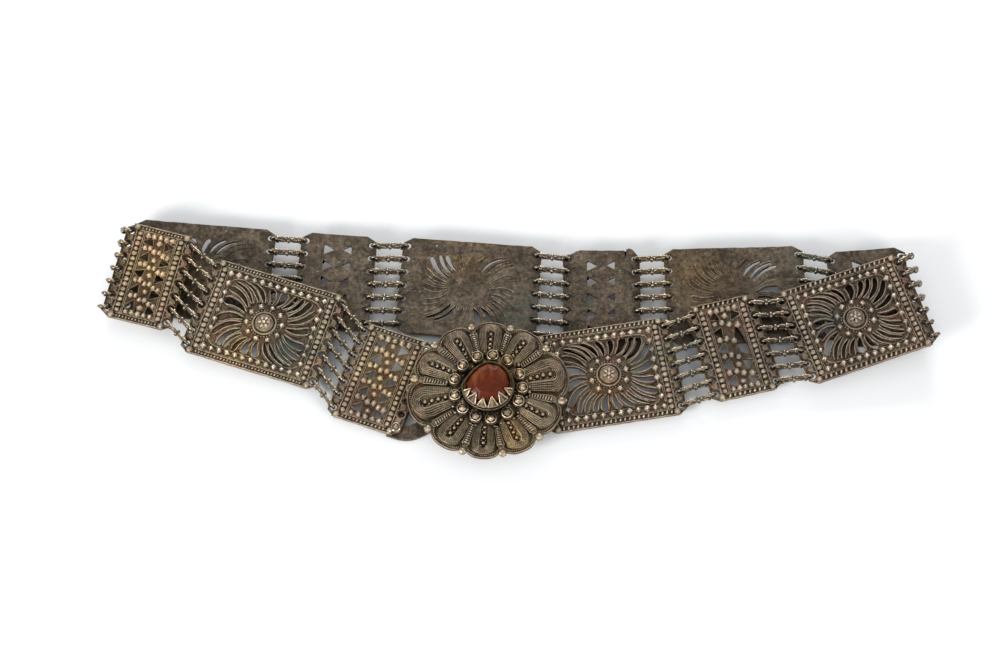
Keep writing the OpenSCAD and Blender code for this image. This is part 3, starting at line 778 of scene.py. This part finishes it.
def petal(p, k):
    """A domed petal with nested twisted wires, a row of balls, its rim and its rope."""
    def spot(s, t, above=0.0):
        r1, a = petal_edge(k, s, 2.1)
        mid = (valley(k) + valley(k + 1)) / 2
        a = mid + (a - mid) * 0.8
        r = CONE_R + (r1 - CONE_R) * t
        return (*round_about(r, a), petal_height(s, t) + above)

    def grounded(pts):
        return [(x, y, BASE_T - 0.1) for x, y, _ in pts]

    n_s, n_t = 17, 9
    v = [spot(s, t) for t in np.linspace(0, 1, n_t) for s in np.linspace(-0.86, 0.86, n_s)]
    v += grounded(v[-n_s:])
    quads = [(i + n_s + j, i + n_s + j + 1, i + j + 1, i + j)
             for i in range(0, n_t * n_s, n_s) for j in range(n_s - 1)]
    left, right = len(v), len(v) + n_t + 1
    v += grounded(v[::n_s]) + grounded(v[n_s - 1::n_s])
    for i in range(n_t):
        a, b = i * n_s, (i + 1) * n_s
        quads.append((left + i, left + i + 1, b, a))
        quads.append((a + n_s - 1, b + n_s - 1, right + i + 1, right + i))
    p.add(form(v, quads, [], -0.25, True))
    for q in (1.0, 0.86, 0.72, 0.58, 0.44):
        path = [(-0.84 * q, t) for t in np.linspace(0.02, 0.7, 8)]
        path += [(0.84 * q * math.sin(f), 0.7 + 0.29 * q * math.cos(f)) for f in np.linspace(-1.35, 1.35, 9)]
        path += [(0.84 * q, t) for t in np.linspace(0.7, 0.02, 8)]
        pts = evenly([spot(s, t, 0.1) for s, t in path], 0.5)
        twist = np.arange(len(pts)) % 2
        p.add(tube(pts, 0.37 + 0.13 * twist, 5, lift=0.35 + 0.35 * twist))
    for i, t in enumerate((0.2, 0.36, 0.52, 0.68)):
        s, t_ball = rng.uniform(-0.04, 0.04), t + rng.uniform(-0.015, 0.015)
        p.add(ball(1.05, 10, 6, 0.15, 0.72), spot(s, t_ball, 0.7))
        for side in (-1, 1):
            p.add(ball(0.5, 8, 5, 0.0, 0.55), spot(side * 0.17, t + 0.08, 0.5))
    rim = [petal_edge(k, s, 0.55) for s in np.linspace(-0.985, 0.985, 22)]
    p.add(tube([(*round_about(r, a), BASE_T + 0.2) for r, a in rim], 0.5, 7, lift=0.5))
    for a, side in ((valley(k), -1), (valley(k + 1), 1)):
        pts = [(*round_about(r, a - side * 3.0), BASE_T + 0.9) for r in np.linspace(20.5, VALLEY_R + 0.8, 8)]
        p.add(tube(pts, 0.42, 6, lift=0.7))
    rope = squeezed(dome(1, 0.75, 7, 2, 0.1, 0.85), (0.85, 0.42, 1))
    path = np.array([round_about(*petal_edge(k, s, 1.85)) for s in np.linspace(-0.97, 0.97, 60)])
    far = distances(path)
    for d in np.arange(0.5, far[-1], 1.12):
        x, y = np.interp(d, far, path[:, 0]), np.interp(d, far, path[:, 1])
        x2, y2 = np.interp(d + 0.2, far, path[:, 0]), np.interp(d + 0.2, far, path[:, 1])
        p.add(rope, (x, y, BASE_T + 0.15), math.degrees(math.atan2(y2 - y, x2 - x)) + 55)


def tooth(p, a, w, tip):
    """A claw like a folded leaf with raised edges, bent over the stone."""
    base, low, high = 12.7, GIRDLE + 0.2, GIRDLE + 3.1
    m = turn_z(a)
    c = np.array([(base, -w, low), (base + 0.1, 0, low + 0.9), (base, w, low),
                  (tip, rng.uniform(-0.5, 0.5), high)])
    shell = np.vstack([c, c - [0.3, 0, 0.5]]) @ m.T
    quads = [(1, 0, 4, 5), (2, 1, 5, 6), (3, 2, 6, 7), (0, 3, 7, 4)]
    tris = [(0, 1, 3), (1, 2, 3), (5, 4, 7), (6, 5, 7)]
    p.add(form(shell, quads, tris, [-0.3, 0.3, -0.3, 0.6, 0, 0, 0, 0], False))
    for q in (0, 2):
        pts = np.linspace(c[q], c[3], 6) + [0, 0, 0.1]
        p.add(tube(pts @ m.T, np.linspace(0.5, 0.34, 6), 6, lift=1.0))
    p.add(tube(np.linspace(c[0], c[2], 5) @ m.T, 0.42, 6, lift=0.8))


def ring_quads(rings, n):
    """The faces between rings of n points each."""
    return [(i * n + j, i * n + (j + 1) % n, (i + 1) * n + (j + 1) % n, (i + 1) * n + j)
            for i in range(rings - 1) for j in range(n)]


def stone_ring(grow, share, seg=12):
    """The stone's outline, grown by a distance and then shrunk to a share."""
    angles = [360 / seg * k for k in range(seg)]
    radii = np.interp(angles, [30 * i for i in range(13)], STONE + STONE[:1])
    return [round_about((r + grow) * share, a) for r, a in zip(radii, angles)]


def shortened(v):
    """The petals in front and behind, a little shorter than those at the sides."""
    r = np.hypot(v[:, 0], v[:, 1])
    share = (v[:, 1] / np.maximum(r, 1e-6)) ** 2 * np.clip((r - 20) / np.maximum(r, 1e-6), 0, 1) * 0.15
    return v * np.stack([1 - share, 1 - share, np.ones(len(v))], 1)


def lay_on_last(p):
    p.move(turn_z(-LAST[4][2]))
    p.move(lie(LAST[4]), ROSETTE_AT + TO_ORIGIN)


def rosette(materials):
    """The petals, the notches' ropes and balls, the drums, the setting with its claws, and the post."""
    p = Pile()
    outline = [tuple(round_about(*petal_edge(k, s, 0))) for k in range(len(VALLEYS))
               for s in np.linspace(-1, 1, 18, endpoint=False)]
    p.add(plate(outline, [], 0, BASE_T, 0.25, -0.15))
    stroke = squeezed(dome(1, 0.95, 8, 3, 0.05, 0.95), (1.25, 0.52, 1))
    faceted = (*ball(BALL_D / 2, 8, 6, 0.15, 0.85)[:4], False)
    for k, a in enumerate(VALLEYS):
        petal(p, k)
        for r in np.arange(21.2, VALLEY_R + 0.6, 1.4):
            p.add(stroke, (*round_about(r, a), BASE_T + 0.8), a + 80, 1.0 + 0.35 * (r - 20) / 14)
        p.add(faceted, (*round_about(BALL_RING_R, a), BASE_T + 0.1), rng.uniform(0, 45))
        stalk = [(*round_about(r, a), BASE_T + 0.1) for r in (VALLEY_R - 1.5, VALLEY_R + 0.5, BALL_RING_R)]
        p.add(tube(stalk, 1.0, 8, lift=0.3))
        p.add(hoop(1.25, 0.4, 14, 5, 0.6), (*round_about(VALLEY_R + 1.2, a), BASE_T + 0.75))
    p.add(lathe([(19.4, BASE_T - 0.2), (18.6, BASE_T + 0.8), (CONE_R, BASE_T + 1.2), (13, BASE_T + 1.3),
                 (12.6, GIRDLE - 3)], 60, [-0.15, -0.15, -0.2, -0.3, -0.4]))
    grit = ball(0.8, 9, 6, 0.1, 0.7)
    for k, a in enumerate(DRUMS):
        after = (DRUMS + [DRUMS[0] + 360])[k + 1]
        for r, share in ((19.9, 0.5), (14.2, 0.5), (20.9, 0.15), (20.9, 0.85)):
            p.add(grit, (*round_about(r, a + (after - a) * share), BASE_T + 1.7), 0, rng.uniform(0.85, 1.2))
    drum = lathe([(DRUM_R, 0.9), (DRUM_R, 4.0), (2.95, 4.35), (2.85, 4.75), (2.5, 4.9)], 22,
                 [-0.3, 0.1, 0.4, 0.95, 0.9])
    cap = lathe([(2.25, 4.75), (2.1, 5.0), (0.5, 5.95), (0, 6.0)], 5, [0.1, 0.35, 0.65, 0.75], smooth=False)
    band = hoop(2.95, 0.22, 22, 5, 0.5)
    for a in DRUMS:
        spot = (*round_about(DRUM_RING_R, a), BASE_T)
        p.add(drum, spot, a)
        p.add(cap, spot, a + rng.uniform(-30, 30))
        p.add(band, (spot[0], spot[1], BASE_T + 3.1))
    for grow, high, wire, lift in ((2.0, -3.2, 0.5, 0.3), (1.6, -1.6, 0.35, 0.1), (0.75, 0.3, 0.3, -0.35)):
        pts = [(x, y, GIRDLE + high) for x, y in stone_ring(grow, 1, 36)]
        p.add(tube(pts, wire, 6, closed=True, lift=lift))
    outer, inner = stone_ring(1.05, 1, 36), stone_ring(0.25, 1, 36)
    v = [(x, y, BASE_T) for x, y in outer] + [(x, y, GIRDLE + 0.5) for x, y in outer]
    v += [(x, y, GIRDLE + 0.55) for x, y in inner] + [(x, y, GIRDLE - 3.2) for x, y in inner]
    p.add(form(v, ring_quads(4, 36), [], -0.35, True))
    pearl = dome(0.5, 0.5, 7, 2, 0.2, 0.9)
    for x, y in stone_ring(2.9, 1, 44):
        p.add(pearl, (x, y, BASE_T + 2.25))
    for a, w, tip in TEETH:
        tooth(p, a, w, tip)
    p.add(lathe([(0, -7.9), (3.5, -7.9), (3.5, -7.1), (2.5, -7.0), (2.5, 0.1)], 24, [0.3] * 5))
    p.v = [shortened(v) for v in p.v]
    lay_on_last(p)
    p.build("rosette_filigree", materials["rosette"], "rosette")


def agate(materials):
    """The cut stone: a table, two rows of facets, a girdle and a flat back."""
    rings = [(0.6, GIRDLE - 3), (1, GIRDLE - 0.8), (1, GIRDLE), (0.86, GIRDLE + 2.0), (0.6, GIRDLE + 3.8)]
    v = [(x, y, z) for share, z in rings for x, y in stone_ring(0, share)]
    n, low = len(STONE), len(v)
    high, last = low + 1, low - n
    v += [(0, 0, GIRDLE - 3), (0, 0, GIRDLE + 3.8)]
    tris = [(low, (k + 1) % n, k) for k in range(n)]
    tris += [(high, last + k, last + (k + 1) % n) for k in range(n)]
    p = Pile()
    p.add(form(v, ring_quads(len(rings), n), tris, 0.5, False))
    lay_on_last(p)
    obj = p.build("agate_cut", materials["stone"], "agate_stone")
    bevel = obj.modifiers.new("arris", "BEVEL")
    bevel.width = 0.00012
    bevel.segments = 1
    bevel.limit_method = "ANGLE"
    bevel.angle_limit = math.radians(8)


# Materials
def fill(node, inputs):
    """Gives a node's inputs their values, or links other nodes' outputs to them."""
    for name, value in inputs.items():
        socket = node.inputs[name]
        if isinstance(value, bpy.types.NodeSocket):
            node.id_data.links.new(value, socket)
        elif socket.type == "RGBA":
            socket.default_value = (*value, 1)
        else:
            socket.default_value = value
    return node


def nodes_of(name):
    mat = bpy.data.materials.new(name)
    mat.use_nodes = True
    tree = mat.node_tree
    tree.nodes.clear()
    out = tree.nodes.new("ShaderNodeOutputMaterial")
    shader = tree.nodes.new("ShaderNodeBsdfPrincipled")
    fill(out, {"Surface": shader.outputs["BSDF"]})
    return mat, tree, shader


def noise(tree, place, scale, detail, rough, distortion=0.0):
    n = tree.nodes.new("ShaderNodeTexNoise")
    return fill(n, {"Vector": place, "Scale": scale, "Detail": detail, "Roughness": rough,
                    "Distortion": distortion}).outputs["Fac"]


def ramp(tree, value, stops):
    r = tree.nodes.new("ShaderNodeValToRGB")
    points = r.color_ramp.elements
    for point, (place, colour) in ((points[0], stops[0]), (points[1], stops[-1])):
        point.position = place
        point.color = (*colour, 1)
    for place, colour in stops[1:-1]:
        points.new(place).color = (*colour, 1)
    return fill(r, {"Fac": value}).outputs["Color"]


def maths(tree, op, *values, clamp=False):
    m = tree.nodes.new("ShaderNodeMath")
    m.operation = op
    m.use_clamp = clamp
    return fill(m, dict(enumerate(values))).outputs[0]


def mix(tree, fac, a, b, blend="MIX"):
    m = tree.nodes.new("ShaderNodeMix")
    m.data_type = "RGBA"
    m.blend_type = blend
    # Among the sockets for every kind of mix, these are the ones for colours
    return fill(m, {0: fac, 6: a, 7: b}).outputs[2]


def times(tree, a, b):
    return mix(tree, 1.0, a, b, "MULTIPLY")


def grey(v):
    return (v, v, v)


def millimetres(tree, sx=1000.0, sy=1000.0, sz=1000.0):
    where = tree.nodes.new("ShaderNodeTexCoord")
    m = tree.nodes.new("ShaderNodeMapping")
    return fill(m, {"Vector": where.outputs["Object"], "Scale": (sx, sy, sz)}).outputs["Vector"]


def reading(tree, name):
    n = tree.nodes.new("ShaderNodeAttribute")
    n.attribute_name = name
    return n.outputs["Fac"]


def silver(name, dark, mid, bright, shine, pits, scratches=0.0, tint=1.0, deep=0.14, rough_from=0.24):
    """Tarnished silver: painted shade where the sky is hidden and where lift is low, rubbed wear and a
    painted highlight where lift is high, and patched with green, golden and cold tarnish. Its scratches are
    for flat backs."""
    mat, tree, shader = nodes_of(name)
    place = millimetres(tree)
    broad = noise(tree, place, 0.045, 5, 0.6, 0.6)
    fine = noise(tree, place, 0.55, 6, 0.65)
    tiny = noise(tree, place, 3.2, 5, 0.7)
    tarnish = ramp(tree, broad, [(0.32, dark), (0.66, mid)])
    speckle = ramp(tree, fine, [(0.32, grey(0.5)), (0.68, grey(1.4))])
    colour = times(tree, tarnish, speckle)
    hue = noise(tree, place, 0.11, 3, 0.6, 0.8)
    hues = ramp(tree, hue, [(0.36, (1.16, 0.94, 0.92)), (0.5, grey(1)), (0.64, (0.95, 1.05, 0.84))])
    colour = times(tree, colour, mix(tree, tint, (1, 1, 1), hues))
    ao = tree.nodes.new("ShaderNodeAmbientOcclusion")
    ao.samples = 6
    open_sky = maths(tree, "POWER", fill(ao, {"Distance": 0.0026}).outputs["AO"], 1.5)
    lift = reading(tree, "lift")
    # Rubbed wear and a painted highlight: high lift where the sky is open mixes the colour towards the bright
    # one
    wear_and_highlight = maths(tree, "MULTIPLY", maths(tree, "POWER", maths(tree, "MAXIMUM", lift, 0.0), 1.6), open_sky)
    patchy = maths(tree, "MULTIPLY_ADD", fine, 1.5, -0.1)
    wear_and_highlight = maths(tree, "MULTIPLY", wear_and_highlight, patchy, clamp=True)
    wear_and_highlight = maths(tree, "MULTIPLY", wear_and_highlight, shine, clamp=True)
    colour = mix(tree, wear_and_highlight, colour, bright)
    if scratches:
        lines = noise(tree, millimetres(tree, 260, 1500, 300), 0.9, 5, 0.75, 0.4)
        streak = ramp(tree, lines, [(0.6, grey(0)), (0.72, grey(1))])
        blotch = noise(tree, place, 0.16, 6, 0.7, 1.0)
        blotch = ramp(tree, blotch, [(0.34, grey(0.55)), (0.5, grey(1)), (0.68, grey(1.7))])
        colour = times(tree, colour, blotch)
        colour = mix(tree, maths(tree, "MULTIPLY", streak, scratches), colour, bright)
        specks = ramp(tree, noise(tree, place, 0.7, 2, 0.6), [(0.69, grey(0)), (0.75, grey(0.8))])
        colour = mix(tree, specks, colour, (0.6, 0.56, 0.5))
    warm = maths(tree, "MULTIPLY", reading(tree, "gold"), 0.6)
    colour = mix(tree, warm, colour, times(tree, colour, (1.5, 1.24, 0.76)))
    colour = mix(tree, reading(tree, "cold"), colour, times(tree, colour, (0.78, 0.74, 0.78)))
    ragged = maths(tree, "MULTIPLY_ADD", noise(tree, place, 0.3, 4, 0.7, 0.5), 2.6, -1.5)
    green = reading(tree, "green")
    patch = maths(tree, "MULTIPLY", maths(tree, "ADD", green, ragged, clamp=True), green, clamp=True)
    colour = mix(tree, maths(tree, "MULTIPLY", patch, 0.85), colour, (0.10, 0.135, 0.11))
    # Painted shade: darker where the sky is hidden, in hollows, under parts and between them
    colour = times(tree, colour, ramp(tree, open_sky, [(0.1, grey(deep)), (0.75, grey(1.0))]))
    # Painted shade: points with a lift below zero, the recesses, the ground under the relief and the black
    # slot sheets, are darkened
    hollow = maths(tree, "ADD", lift, 1.0, clamp=True)
    colour = times(tree, colour, ramp(tree, hollow, [(0.2, grey(0.2)), (1.0, grey(1))]))
    rough = maths(tree, "MULTIPLY_ADD", fine, 0.3, rough_from)
    rough = maths(tree, "SUBTRACT", rough, maths(tree, "MULTIPLY", wear_and_highlight, 0.14), clamp=True)
    height = maths(tree, "ADD", maths(tree, "MULTIPLY", fine, 1.0), maths(tree, "MULTIPLY", tiny, 0.55))
    bump = tree.nodes.new("ShaderNodeBump")
    fill(bump, {"Strength": 0.75, "Distance": pits * 0.001, "Height": height})
    fill(shader, {"Base Color": colour, "Metallic": 0.82, "Roughness": rough,
                  "Normal": bump.outputs["Normal"]})
    return mat


def stone_material():
    """Polished orange-brown stone in bands, darker below."""
    mat, tree, shader = nodes_of("agate")
    bands = noise(tree, millimetres(tree, 1000, 160, 400), 0.2, 3, 0.5, 0.8)
    height = fill(tree.nodes.new("ShaderNodeSeparateXYZ"), {0: millimetres(tree)}).outputs["Y"]
    rise = maths(tree, "MULTIPLY_ADD", height, 0.045, 1.4)
    swing = maths(tree, "MULTIPLY", maths(tree, "SUBTRACT", bands, 0.5), 2.4)
    tone = maths(tree, "ADD", rise, swing, clamp=True)
    colour = ramp(tree, tone, [(0.0, (0.095, 0.015, 0.004)), (0.4, (0.18, 0.043, 0.008)),
                               (0.75, (0.24, 0.073, 0.013)), (1.0, (0.33, 0.118, 0.025))])
    cloud = noise(tree, millimetres(tree), 0.5, 5, 0.6)
    colour = times(tree, colour, ramp(tree, cloud, [(0.3, grey(0.75)), (0.7, grey(1.15))]))
    fill(shader, {"Base Color": colour, "Roughness": 0.16, "IOR": 1.5, "Specular IOR Level": 0.25,
                  "Subsurface Weight": 0.15, "Subsurface Radius": (1.0, 0.35, 0.15),
                  "Subsurface Scale": 0.0015})
    return mat


MATERIALS = {
    "front": silver("tarnished_cast_silver", (0.10, 0.07, 0.047), (0.275, 0.20, 0.13), (0.97, 0.84, 0.65),
                    1.1, 0.8),
    "back": silver("worn_back_of_casting", (0.078, 0.058, 0.041), (0.165, 0.127, 0.089), (0.52, 0.45, 0.36),
                   0.7, 0.22, 0.5, tint=0.3, rough_from=0.3),
    "wire": silver("link_wire_silver", (0.05, 0.037, 0.026), (0.12, 0.09, 0.06), (1.0, 0.86, 0.64),
                   0.8, 0.15, rough_from=0.1),
    "rosette": silver("filigree_silver", (0.08, 0.056, 0.034), (0.21, 0.15, 0.087), (0.76, 0.635, 0.47),
                      0.95, 0.35, deep=0.36),
    "stone": stone_material(),
}

for spec in LAYOUT:
    panel(spec, MATERIALS)
for joint in range(len(SIDES)):
    link_row(joint, MATERIALS)
buckle(MATERIALS)
rosette(MATERIALS)
agate(MATERIALS)


# Stage
def floor():
    mesh = bpy.data.meshes.new("floor")
    mesh.from_pydata([(-4, -4, 0), (4, -4, 0), (4, 4, 0), (-4, 4, 0)], [], [(0, 1, 2, 3)])
    mat, _, shader = nodes_of("paper")
    fill(shader, {"Base Color": grey(0.93), "Roughness": 0.9})
    mesh.materials.append(mat)
    new_object("floor", mesh)


def aim(obj, at, target):
    obj.location = at
    obj.rotation_euler = (target - obj.location).to_track_quat("-Z", "Y").to_euler()


def lamp(name, at, wide, power):
    """A soft lamp that points at the belt's middle, with its size in metres and its power in watts."""
    data = bpy.data.lights.new(name, "AREA")
    data.shape = "RECTANGLE"
    data.size, data.size_y = wide, 0.4
    data.energy = power
    aim(new_object(name, data), at, Vector((0, 0, 0)))


floor()
lamp("soft_left", (-1.0, -0.8, 0.55), 0.5, 19.5)
lamp("soft_right", (1.0, -0.95, 0.5), 0.6, 11)
lamp("soft_back", (0.1, 1.25, 0.5), 0.8, 11.5)

world = bpy.data.worlds.new("studio")
bpy.context.scene.world = world
world.use_nodes = True
fill(world.node_tree.nodes["Background"], {"Color": (0.93, 0.97, 1.0), "Strength": 0.52})

# The photograph's view, in metres
elevation = math.radians(62)
distance = 1.211
target = Vector((-0.0089, 0.0044, 0.0053))
camera_data = bpy.data.cameras.new("camera")
camera_data.lens = 85
camera_data.sensor_width = 36
camera = new_object("camera", camera_data)
aim(camera, target + distance * Vector((0, -math.cos(elevation), math.sin(elevation))), target)
bpy.context.scene.camera = camera
bpy.context.scene.view_settings.view_transform = "Standard"
